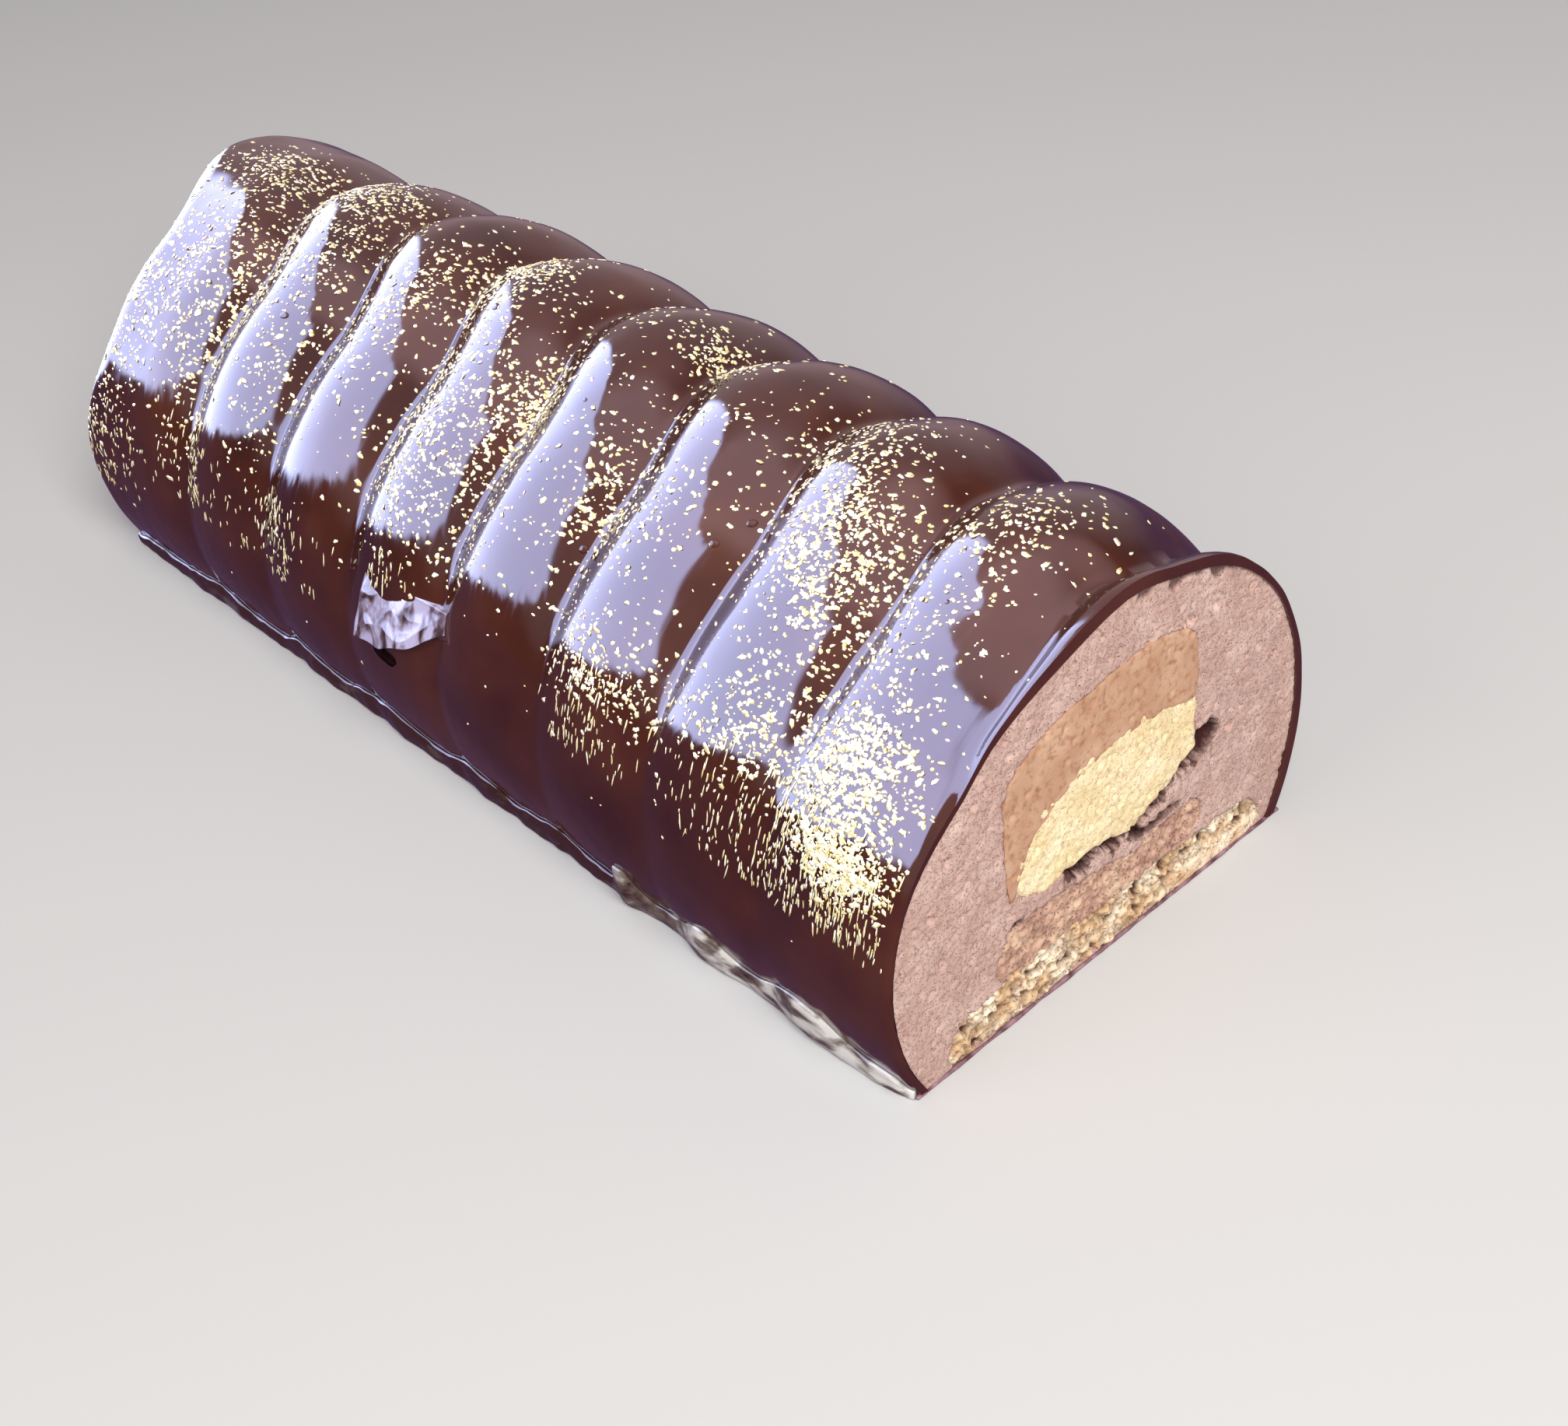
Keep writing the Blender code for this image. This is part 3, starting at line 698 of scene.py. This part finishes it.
def build_mousse(outlines, crumb):
    edge = rim_outline()
    hollows = [Outline(points, None, 0.5 * MM, 1.2 * MM, 3.0 + index) for index, points in enumerate(HOLLOWS)]

    def depth(y, z):
        sunk = (0.34 + 0.16 * wave(y / 0.007, z / 0.007, 2.0) + 0.16 * wave(y / 0.0011, z / 0.0011, 6.0)) * MM
        sunk += 0.8 * pits(y, z, 0.0021, 0.27, 4.4) + 0.9 * pits(y, z, 0.0060, 0.15, 8.8)
        dark = 0.0
        away, _ = outlines["insert_cream"].nearest(y, z)
        # The gap under the cream: sunk, with painted shade inside it.
        if GAP_SIDES[0] < y < GAP_SIDES[1] and z < GAP_BELOW:
            wide = GAP_WIDTH * (0.85 + 0.9 * wave(y / 0.0038, 0.3) + 0.9 * wave(y / 0.0012, z / 0.0012, 4.0))
            open_ends = smooth(y, (GAP_SIDES[0], GAP_SIDES[0] + 2 * MM)) * smooth(-y, (-GAP_SIDES[1], 2 * MM - GAP_SIDES[1]))
            torn = (wide - away) * open_ends
            sunk = max(sunk, 2.6 * MM * smooth(torn, (-0.1 * MM, 0.8 * MM)))
            dark = max(dark, smooth(torn, (-0.5 * MM, 0.35 * MM)))
        for outline in outlines.values():
            inside = -outline.nearest(y, z)[0]
            sunk = max(sunk, POCKET * smooth(inside, (0.0, 0.5 * MM)) + 0.20 * MM * smooth(inside, (-0.4 * MM, 0.2 * MM)))
            # Painted shade along the seams around each layer.
            dark = max(dark, SEAM_SHADE * smooth(inside, (-0.4 * MM, 0.1 * MM)))
        under = 2.2 * MM * (0.5 + 1.3 * wave(y / 0.0024, z / 0.0024, 7.3)) + edge.nearest(y, z)[0]
        torn = smooth(under, (-0.2 * MM, 0.5 * MM)) * smooth(z, TORN_ABOVE) * smooth(y, TORN_SIDES[:2]) * smooth(-y, TORN_SIDES[2:])
        # Painted shade in the torn band under the top glaze.
        sunk, dark = max(sunk, 1.0 * MM * torn), max(dark, 0.75 * torn)
        # Painted shade in the hollows.
        for outline in hollows:
            inside = -outline.nearest(y, z)[0]
            ragged = inside + 0.35 * MM * wave(y / 0.0008, z / 0.0008, 5.0)
            sunk = max(sunk, 2.6 * MM * smooth(ragged, (-0.1 * MM, 0.9 * MM)))
            dark = max(dark, smooth(ragged, (-0.3 * MM, 0.5 * MM)))
        return sunk, dark

    mesh = sheet_in(edge, FACE_GRID)
    carve(mesh, edge, depth, edge=0.10 * MM, round_over=0.5 * MM)
    body = Skin(12, 48, inside=True, overlap=-0.5 * MM).mesh()
    corners = [v for v in body.verts if v.is_boundary and v.co.x > CUT_X - 1e-6 and v.co.z < 1e-6]
    corners.sort(key=lambda v: v.co.y)
    sill = body.edges.new((corners[0], corners[-1]))
    open_edges = [e for e in body.edges if e.is_boundary]
    floor = [e for e in open_edges if min(v.co.x for v in e.verts) < CUT_X - 1e-6]
    bmesh.ops.contextual_create(body, geom=floor + [sill])
    for vertex in [v for v in body.verts if v.co.x > CUT_X - 1e-6]:
        vertex.co = (CUT_X - WALL_BEHIND_CUT, vertex.co.y * WALL_SHARE, vertex.co.z * WALL_SHARE)
    join(mesh, body)
    bmesh.ops.bridge_loops(mesh, edges=[e for e in mesh.edges if e.is_boundary])
    bmesh.ops.recalc_face_normals(mesh, faces=mesh.faces)
    material = crumb_material(
        "chocolate_mousse", (0.50, 0.325, 0.280), (0.61, 0.43, 0.375), (0.34, 0.195, 0.155),
        (0.040, 0.012, 0.011), 1300, 0.55, 0.95, 0.62, crumb,
    )
    add_piece("mousse_cut", mesh, material, ["mousse"], sharp=80)


# ---------------------------------------------------------------- glaze and gold


def lay_flat(mesh):
    """UV over the log: metres along it and metres around it."""
    layer = mesh.loops.layers.uv.new("over_the_log")
    for face in mesh.faces:
        for loop in face.loops:
            spot = loop.vert.co
            around = math.atan2(spot.z - AXIS_HEIGHT, -spot.y)
            loop[layer].uv = (spot.x, RADIUS * around)


def build_glaze(material):
    mesh = Skin(46, 210, fine=True).mesh()
    outer = bvhtree.BVHTree.FromBMesh(mesh)
    join(mesh, Skin(12, 48, inside=True).mesh())
    bmesh.ops.bridge_loops(mesh, edges=[edge for edge in mesh.edges if edge.is_boundary])
    bmesh.ops.recalc_face_normals(mesh, faces=mesh.faces)
    lay_flat(mesh)
    add_piece("glaze_skin", mesh, material, ["glaze_coat"], sharp=50)
    return outer


def on_glaze(outer, x, angle):
    """(place, outward normal) on the glaze at this angle around the log, or None past its ends."""
    turn = math.radians(angle)
    out = Vector((0, -math.cos(turn), math.sin(turn)))
    axis = Vector((x, 0, AXIS_HEIGHT))
    place, normal, _, _ = outer.ray_cast(axis + out * 2 * RADIUS, -out)
    if place is None:
        return None
    return place, (normal if normal.dot(out) > 0 else -normal)


# Puffs of gold dust: place along the log (mm), angle, spread along (mm) and around (degrees), flecks
PUFFS = (
    (-96, 45, 12, 30, 500), (-93, 95, 14, 14, 250), (-84, 60, 5, 18, 150), (-71, 60, 8, 30, 450),
    (-69, 100, 12, 12, 280), (-56, 75, 6, 14, 130), (-48, 45, 8, 20, 140), (-31, 75, 6, 20, 200),
    (-18, 95, 10, 12, 250), (-6, 55, 9, 22, 420), (9, 65, 5, 16, 220), (9, 40, 14, 12, 120),
    (29, 105, 8, 7, 170), (36, 60, 6, 16, 130), (46, 60, 12, 25, 160), (54, 30, 12, 8, 200),
    (66, 95, 10, 14, 160), (76, 75, 8, 16, 420), (86, 65, 6, 18, 200), (84, 35, 12, 8, 200),
    (99, 95, 10, 14, 160), (99, 60, 12, 22, 250), (104, 38, 10, 10, 600), (108, 24, 8, 6, 450),
    (0, 75, 70, 45, 700),
)
PUFF_SPREAD = 0.62
FLECK_SIZES = (0.17 * MM, 0.58 * MM)
FLECKS_MORE = 1.65
FLECK_THICKNESS = 0.10 * MM
# Dust drawn out down the flank: place along the log (mm), its spread, low and high angle, streaks
SMEARS = (
    (-96, 14, -4, 20, 110), (-66, 10, 5, 30, 90), (-38, 12, 3, 22, 120), (-1, 6, 18, 28, 30),
    (53, 9, 10, 30, 130), (96, 20, 8, 32, 420), (110, 7, 10, 24, 160),
)
STREAK_LENGTHS = (1.0 * MM, 4.2 * MM)


def fleck(mesh, place, normal, along, size, stretch, draw):
    """One thin uneven flake lying on the glaze."""
    tilt = Vector((draw.gauss(0, 0.16), draw.gauss(0, 0.16), draw.gauss(0, 0.16)))
    up = (normal + tilt).normalized()
    side = up.cross(along).normalized()
    ahead = side.cross(up)
    frame_of = Matrix((ahead, side, up)).transposed().to_4x4()
    frame_of.translation = place + normal * FLECK_THICKNESS * 0.25
    made = bmesh.ops.create_cone(
        mesh, segments=5, radius1=size, radius2=size * 0.7, depth=FLECK_THICKNESS, cap_ends=True, cap_tris=False
    )["verts"]
    for vertex in made:
        push = draw.uniform(0.55, 1.25)
        spot = Vector((vertex.co.x * push * stretch, vertex.co.y * push, vertex.co.z))
        vertex.co = frame_of @ spot


def build_gold(outer):
    draw = random.Random(11)
    dust = gold_material()
    gold, streaks = bmesh.new(), bmesh.new()
    for middle, angle, wide, high, count in PUFFS:
        puff = bmesh.new()
        for _ in range(round(count * FLECKS_MORE)):
            x = draw.gauss(middle, wide * PUFF_SPREAD) * MM
            turn = draw.gauss(angle, high * PUFF_SPREAD)
            size = mix(*FLECK_SIZES, draw.random() ** 1.8)
            spin = draw.uniform(0, 2 * math.pi)
            found = on_glaze(outer, x, turn) if x < CUT_X - 1.2 * MM and -10 < turn < 150 else None
            if found:
                along = Vector((math.cos(spin), math.sin(spin), 0.3))
                fleck(puff, *found, along, size, draw.uniform(1.0, 2.0), draw)
        join(gold, puff)
    for middle, wide, low, high, count in SMEARS:
        puff = bmesh.new()
        for _ in range(count):
            x = draw.gauss(middle, wide * PUFF_SPREAD) * MM
            turn = draw.uniform(low, high)
            length = mix(*STREAK_LENGTHS, draw.random() ** 2)
            found = on_glaze(outer, x, turn) if x < CUT_X - 1.2 * MM else None
            if found and found[0].z > length:
                down = Vector((draw.gauss(0, 0.06), found[1].z, -found[1].y))
                width = draw.uniform(0.10, 0.20) * MM
                fleck(puff, *found, down, width, length / width / 2, draw)
        join(streaks, puff)
    add_piece("gold_flecks", gold, dust)
    add_piece("gold_streaks", streaks, dust)


# The torn patch on the near flank: its ends, its lip and top, how far the lip stands out, and where its painted shadow
# goes, a near-black patch under the lip
FLAP_X = (-10 * MM, 21 * MM)
FLAP_TOP = (25, 19)
FLAP_BOTTOM = (6, 17)
FLAP_LIP = 0.88
FLAP_BASE = 0.8 * MM
FLAP_REACH = 3.1 * MM
FLAP_FOLD = 0.5 * MM
FLAP_SUNK = 2.0 * MM
SHADOW_PATCH_PLACE = (-0.8 * MM, 2.6)


def torn_material():
    """The glaze with pale lavender patches painted in by noise over its dark brown: a painted reflection of the window
    light.
    """
    material, tree, shader = new_material("torn_glaze")
    place = add_node(tree, "ShaderNodeTexCoord").outputs["Object"]
    stretch = add_node(tree, "ShaderNodeMapping")
    stretch.inputs["Scale"].default_value = (1.0, 0.6, 0.6)
    painted_reflection = add_node(tree, "ShaderNodeTexNoise", in_2=300.0, in_3=4.0, in_8=0.8)
    tree.links.new(place, stretch.inputs["Vector"])
    tree.links.new(stretch.outputs["Vector"], painted_reflection.inputs["Vector"])
    # Painted reflection: the pale lavender stops stand in for the window mirrored in the flap.
    stops = ((0.40, (0.050, 0.022, 0.024)), (0.47, (0.17, 0.13, 0.18)), (0.57, (0.40, 0.37, 0.56)))
    tree.links.new(ramp(tree, painted_reflection.outputs["Fac"], stops), shader.inputs["Base Color"])
    shader.inputs["Roughness"].default_value = 0.12
    shader.inputs["IOR"].default_value = 1.58
    return material


def build_flap(outer):
    """Glaze that tore and folded while it set, like a small awning, with a near-black patch beneath it as painted
    shadow.
    """
    flap = bmesh.new()
    bmesh.ops.create_grid(flap, x_segments=110, y_segments=80, size=0.5)
    for vertex in flap.verts:
        share, fall = vertex.co.x + 0.5, 0.5 - vertex.co.y
        x = mix(*FLAP_X, share)
        lip = mix(*FLAP_BOTTOM, smooth(share, (0.25, 1.0))) + 2.0 * wave(x / 0.006, 4.0)
        hang = min(1.0, fall / FLAP_LIP)
        angle = mix(mix(*FLAP_TOP, share), lip, hang)
        sides = smooth(share, (0.0, 0.14)) * (1 - smooth(share, (0.40, 0.98)))
        arc = RADIUS * math.radians(angle)
        crease = 1 - 2.6 * abs(wave(x / 0.0075 + 0.3 * fall, arc / 0.0085, 6.0))
        crease += 0.5 - 1.3 * abs(wave(x / 0.0034, arc / 0.0042, 2.0))
        tuck = max(0.0, (fall - FLAP_LIP) / (1 - FLAP_LIP))
        rise = max(0.0, hang - 0.15) / 0.85
        lift = sides * (FLAP_REACH * rise**1.2 + FLAP_FOLD * crease * hang * (1 - 0.5 * hang)) * (1 - tuck * tuck)
        rim = 1 - smooth(fall, (0.0, 0.10))
        radius = RADIUS - FLAP_BASE + lift - FLAP_SUNK * max(rim, 1 - sides, tuck)
        turn = math.radians(angle)
        vertex.co = (x, -radius * math.cos(turn), AXIS_HEIGHT + radius * math.sin(turn))
    drawn = bmesh.ops.extrude_edge_only(flap, edges=[edge for edge in flap.edges if edge.is_boundary])["geom"]
    for vertex in [item for item in drawn if isinstance(item, bmesh.types.BMVert)]:
        vertex.co.y += 0.3 * MM
    bmesh.ops.holes_fill(flap, edges=[edge for edge in flap.edges if edge.is_boundary])
    bmesh.ops.recalc_face_normals(flap, faces=flap.faces)
    add_piece("torn_glaze", flap, torn_material())

    # Painted shadow: a flat near-black ellipsoid without specular, set where only shade lies under the lip.
    place, _ = on_glaze(outer, *SHADOW_PATCH_PLACE)
    shadow_patch = bmesh.new()
    bmesh.ops.create_uvsphere(shadow_patch, u_segments=32, v_segments=16, radius=1.0)
    for vertex in shadow_patch.verts:
        edge = 1 + 0.25 * wave(vertex.co.x * 1.5, vertex.co.z * 1.5, 3.0)
        vertex.co = place + Vector((vertex.co.x * 3.4 * edge, vertex.co.y * 0.45, vertex.co.z * 1.5 * edge)) * MM
    shadowed = mottled_material("shadow_patch", (0.003, 0.001, 0.002), (0.014, 0.006, 0.007), 900.0, 0.8)
    shadowed.node_tree.nodes["Principled BSDF"].inputs["Specular IOR Level"].default_value = 0.0
    add_piece("torn_painted_shadow", shadow_patch, shadowed)


# Bubbles caught in the glaze: place along the log (mm) and angle
BUBBLES = ((61, 62), (-52, 59), (63, 70), (22, 74), (-12, 84), (38, 48), (90, 82), (-80, 72), (101, 74), (-30, 66))
BUBBLE_SIZE = 0.75 * MM


def build_bubbles(outer, material):
    draw = random.Random(5)
    bubbles = bmesh.new()
    for x, angle in BUBBLES:
        place, normal = on_glaze(outer, x * MM, angle)
        turn = normal.to_track_quat("Z", "X").to_matrix().to_4x4()
        turn.translation = place
        size = BUBBLE_SIZE * draw.uniform(0.5, 1.0)
        shape = Matrix.Diagonal((size, size * draw.uniform(1.0, 1.5), size * 0.4, 1.0))
        bmesh.ops.create_uvsphere(bubbles, u_segments=16, v_segments=10, radius=1.0, matrix=turn @ shape)
    add_piece("glaze_bubbles", bubbles, material)


# The glaze that ran down and set in a thin skirt on the near side
SKIRT_X = (-104 * MM, CUT_X - 0.4 * MM)
SKIRT_ROWS = 620
SKIRT_COLUMNS = 20
SKIRT_FOOT_ANGLE = -27.2
# Where it stands tall: place along the log and half-width (mm), and height
SKIRT_LOBES = (
    (-72, 9, 0.30), (-38, 7, 0.40), (-12, 8, 0.45), (15, 8, 0.45), (36, 6, 0.35), (57, 2.6, 1.05),
    (76, 5.5, 0.90), (98, 9, 0.85),
)


def skirt_material():
    material, tree, shader = new_material("thin_glaze")
    place = add_node(tree, "ShaderNodeTexCoord").outputs["Object"]
    stretch = add_node(tree, "ShaderNodeMapping")
    stretch.inputs["Scale"].default_value = (1.0, 2.4, 2.4)
    streaks = add_node(tree, "ShaderNodeTexNoise", in_2=150.0, in_3=4.0)
    tree.links.new(place, stretch.inputs["Vector"])
    tree.links.new(stretch.outputs["Vector"], streaks.inputs["Vector"])
    thin = add_node(tree, "ShaderNodeAttribute", attribute_name="shade")
    pale = math_node(tree, "MULTIPLY", streaks.outputs["Fac"], thin.outputs["Fac"])
    # Painted reflection: the pale grey end stands in for the board and light mirrored in the thin film.
    colour = ramp(tree, pale, ((0.26, (0.040, 0.014, 0.012)), (0.40, (0.15, 0.115, 0.10)), (0.54, (0.62, 0.60, 0.57))))
    tree.links.new(colour, shader.inputs["Base Color"])
    shader.inputs["Roughness"].default_value = 0.16
    shader.inputs["IOR"].default_value = 1.5
    return material


def build_skirt(outer):
    skirt = bmesh.new()
    bmesh.ops.create_grid(skirt, x_segments=SKIRT_ROWS, y_segments=SKIRT_COLUMNS, size=0.5)
    shade = skirt.verts.layers.float.new("shade")
    for vertex in skirt.verts:
        along, around = vertex.co.x + 0.5, vertex.co.y + 0.5
        x = mix(*SKIRT_X, along)
        ends = smooth(along, (0.0, 0.04)) * (1 - smooth(along, (0.985, 1.0)))
        reflection_share = smooth(x, (0.045, 0.080))
        lobe = 0.26 + 0.25 * wave(x / 0.013, 1.7) + 0.15 * wave(x / 0.0055, 6.2)
        lobe += sum(high * math.exp(-((x / MM - middle) / wide) ** 2) for middle, wide, high in SKIRT_LOBES)
        lobe = max(0.2, lobe) * ends
        foot = on_glaze(outer, x, SKIRT_FOOT_ANGLE)[0]
        top = on_glaze(outer, x, SKIRT_FOOT_ANGLE + 1.5 + 8.5 * min(1.2, lobe))[0]
        board = Vector((x, foot.y - MM * (0.7 + 0.8 * lobe), 0.0))
        turn = around * 2 * math.pi
        across = 0.5 - 0.5 * math.cos(turn)
        out = Vector((0, -0.8, 0.6)) * (0.5 + 0.7 * lobe) * MM * math.sin(turn)
        ripple = 0.35 * wave(x / 0.003, across * 3, 2.0) * MM * math.sin(turn)
        spot = top.lerp(board, across) + out * (1.0 if math.sin(turn) > 0 else 0.8) + Vector((0, -ripple, 0))
        vertex.co = (x, spot.y, max(0.0, spot.z))
        # Here the shade attribute is a paleness mask: the higher it is, the more painted reflection goes into the
        # skirt's colour, most from 45 to 80 mm along.
        vertex[shade] = min(1.0, max(0.0, 0.45 + 0.55 * reflection_share + 0.3 * wave(x / 0.02, 9.0)))
    bmesh.ops.remove_doubles(skirt, verts=skirt.verts, dist=0.004 * MM)
    bmesh.ops.holes_fill(skirt, edges=[edge for edge in skirt.edges if edge.is_boundary])
    bmesh.ops.recalc_face_normals(skirt, faces=skirt.faces)
    add_piece("foot_skirt", skirt, skirt_material())


# The thin line of glaze along the board under the cut
LINE_SIZE = 0.34 * MM


def build_foot_line():
    edge = rim_outline().box
    line = bmesh.new()
    turn = Matrix.Rotation(math.pi / 2, 4, "X")
    bmesh.ops.create_cone(line, segments=10, radius1=1.0, radius2=1.0, depth=1.0, cap_ends=True, matrix=turn)
    long_edges = [e for e in line.edges if abs(e.verts[0].co.y - e.verts[1].co.y) > 0.5]
    bmesh.ops.subdivide_edges(line, edges=long_edges, cuts=160, use_grid_fill=True)
    for vertex in line.verts:
        y = mix(edge[0] + 3.5 * MM, edge[2] - 2.5 * MM, vertex.co.y + 0.5)
        size = LINE_SIZE * (1 + 0.7 * wave(y / 0.006, 3.0) + 0.3 * wave(y / 0.002, 8.0))
        vertex.co = (CUT_X - 0.75 * LINE_SIZE + vertex.co.x * size, y, max(0.0, size * (vertex.co.z * 0.8 + 0.5)))
    bmesh.ops.recalc_face_normals(line, faces=line.faces)
    thin = mottled_material("run_glaze", (0.085, 0.030, 0.040), (0.30, 0.17, 0.20), 400.0, 0.2)
    add_piece("foot_line", line, thin)


# ---------------------------------------------------------------- studio


# What the glaze mirrors: grey by height from straight down to straight up, and soft glows by direction
SKY = ((0.0, (0.10, 0.06, 0.14)), (0.49, (0.12, 0.07, 0.15)), (0.53, (0.06, 0.04, 0.045)),
       (0.82, (0.16, 0.10, 0.10)), (0.94, (2.1, 1.55, 1.70)))
SKY_GLOWS = (
    ((0.25, -0.70, 0.67), (0.74, 0.92), (0.55, 0.48, 0.50)),
    ((-0.62, 0.68, 0.40), (0.70, 0.95), (0.75, 0.56, 0.60)),
    ((0.95, 0.10, 0.25), (0.60, 0.90), (0.70, 0.68, 0.72)),
)
# The bright window at the far end: its turn from that end towards +Y and its height, in degrees
WINDOW_COLOUR = (6.1, 6.7, 10.8)
WINDOW_TURNS = (-97, 23)
WINDOW_SILL = (-16.7, -0.497)
WINDOW_TOP = (64, -1.0)
WINDOW_TOP_MOST = 71.5
AMBIENT = (0.34, 0.32, 0.33)


def math_node(tree, operation, *values):
    """A Math node from sockets or numbers, and its output."""
    node = tree.nodes.new("ShaderNodeMath")
    node.operation = operation
    for place, value in zip(node.inputs, values):
        if isinstance(value, (int, float)):
            place.default_value = value
        else:
            tree.links.new(value, place)
    return node.outputs[0]


def edge_at(tree, value, limit, softness):
    """1 where the value is above the limit, with a soft edge, in degrees."""
    return math_node(tree, "SMOOTH_MIN", math_node(
        tree, "MAXIMUM", math_node(tree, "DIVIDE", math_node(tree, "SUBTRACT", value, limit), softness), 0.0), 1.0, 0.0)


def surroundings():
    world = bpy.data.worlds.new("world")
    bpy.context.scene.world = world
    world.use_nodes = True
    tree = world.node_tree
    place = tree.nodes.new("ShaderNodeTexCoord").outputs["Generated"]
    split = tree.nodes.new("ShaderNodeSeparateXYZ")
    tree.links.new(place, split.inputs[0])
    x, y, z = split.outputs
    sky = ramp(tree, math_node(tree, "MULTIPLY_ADD", z, 0.5, 0.5), SKY)
    for direction, limits, colour in SKY_GLOWS:
        towards = add_node(tree, "ShaderNodeVectorMath", operation="DOT_PRODUCT")
        towards.inputs[1].default_value = Vector(direction).normalized()
        tree.links.new(place, towards.inputs[0])
        glow = add_node(tree, "ShaderNodeMapRange", interpolation_type="SMOOTHSTEP", in_1=limits[0], in_2=limits[1])
        tree.links.new(towards.outputs["Value"], glow.inputs[0])
        lit = add_node(tree, "ShaderNodeMix", data_type="RGBA")
        lit.inputs[7].default_value = (*colour, 1)
        tree.links.new(glow.outputs[0], lit.inputs[0])
        tree.links.new(sky, lit.inputs[6])
        sky = lit.outputs[2]

    ripple = add_node(tree, "ShaderNodeTexNoise", in_2=9.0, in_3=2.0)
    tree.links.new(place, ripple.inputs["Vector"])
    shake = math_node(tree, "MULTIPLY", math_node(tree, "SUBTRACT", ripple.outputs["Fac"], 0.5), 9.0)
    degrees = 180 / math.pi
    turn = math_node(tree, "MULTIPLY", math_node(tree, "ARCTAN2", y, math_node(tree, "MULTIPLY", x, -1.0)), degrees)
    height = math_node(tree, "ADD", math_node(tree, "MULTIPLY", math_node(tree, "ARCSINE", z), degrees), shake)
    sill = math_node(tree, "MULTIPLY_ADD", turn, WINDOW_SILL[1], WINDOW_SILL[0])
    top = math_node(tree, "MINIMUM", math_node(tree, "MULTIPLY_ADD", turn, WINDOW_TOP[1], WINDOW_TOP[0]), WINDOW_TOP_MOST)
    inside = (
        edge_at(tree, turn, WINDOW_TURNS[0], 3.0),
        edge_at(tree, math_node(tree, "MULTIPLY", turn, -1.0), -WINDOW_TURNS[1], 2.0),
        edge_at(tree, height, sill, 2.0),
        edge_at(tree, top, height, 2.0),
    )
    window = inside[0]
    for part in inside[1:]:
        window = math_node(tree, "MULTIPLY", window, part)
    bright = add_node(tree, "ShaderNodeMix", data_type="RGBA")
    bright.inputs[7].default_value = (*WINDOW_COLOUR, 1)
    tree.links.new(window, bright.inputs[0])
    tree.links.new(sky, bright.inputs[6])
    seen = add_node(tree, "ShaderNodeMix", data_type="RGBA")
    seen.inputs[6].default_value = (*AMBIENT, 1)
    tree.links.new(tree.nodes.new("ShaderNodeLightPath").outputs["Is Glossy Ray"], seen.inputs[0])
    tree.links.new(bright.outputs[2], seen.inputs[7])
    tree.links.new(seen.outputs[2], tree.nodes["Background"].inputs["Color"])


def soft_light(name, place, aim, size, energy, colour):
    light = bpy.data.lights.new(name, "AREA")
    light.shape = "RECTANGLE"
    light.size, light.size_y = size
    light.energy = energy
    light.color = colour
    lamp = bpy.data.objects.new(name, light)
    lamp.location = place
    lamp.rotation_euler = (Vector(aim) - lamp.location).to_track_quat("-Z", "Y").to_euler()
    lamp.visible_glossy = False
    bpy.context.scene.collection.objects.link(lamp)


def studio():
    camera = bpy.data.cameras.new("camera")
    camera.lens = 50.47
    camera.sensor_width = 36
    camera.sensor_fit = "HORIZONTAL"
    camera.shift_x = 0.0028
    camera.shift_y = 0.0036
    camera.clip_start = 0.01
    view = bpy.data.objects.new("camera", camera)
    view.location = (0.27712, -0.18655, 0.24688)
    view.rotation_euler = [math.radians(a) for a in (50.8208, 4.9487, 47.0541)]
    bpy.context.scene.collection.objects.link(view)
    bpy.context.scene.camera = view
    bpy.context.scene.view_settings.view_transform = "Standard"

    soft_light("key", (0.70, -0.30, 0.80), (0, 0, 0.03), (0.6, 0.6), 15.5, (1.0, 0.98, 0.95))
    soft_light("side", (-0.20, -0.95, 0.70), (0, 0, 0.04), (0.8, 0.5), 3.0, (1.0, 0.95, 0.95))

    surroundings()

    floor_mesh = bmesh.new()
    bmesh.ops.create_grid(floor_mesh, x_segments=1, y_segments=1, size=3)
    data = bpy.data.meshes.new("floor")
    floor_mesh.to_mesh(data)
    floor_mesh.free()
    paper, _, shader = new_material("floor")
    shader.inputs["Base Color"].default_value = (0.52, 0.52, 0.52, 1)
    shader.inputs["Roughness"].default_value = 0.9
    shader.inputs["Specular IOR Level"].default_value = 0.0
    data.materials.append(paper)
    floor = bpy.data.objects.new("floor", data)
    floor.visible_glossy = False
    floor.visible_shadow = False
    bpy.context.scene.collection.objects.link(floor)


studio()
dark_glaze = glaze_material()
outer_skin = build_glaze(dark_glaze)
shared_crumb = crumb_group()
cut_outlines = face_outlines()
build_layers(cut_outlines, shared_crumb)
build_mousse(cut_outlines, shared_crumb)
build_flap(outer_skin)
build_bubbles(outer_skin, dark_glaze)
build_skirt(outer_skin)
build_foot_line()
build_gold(outer_skin)
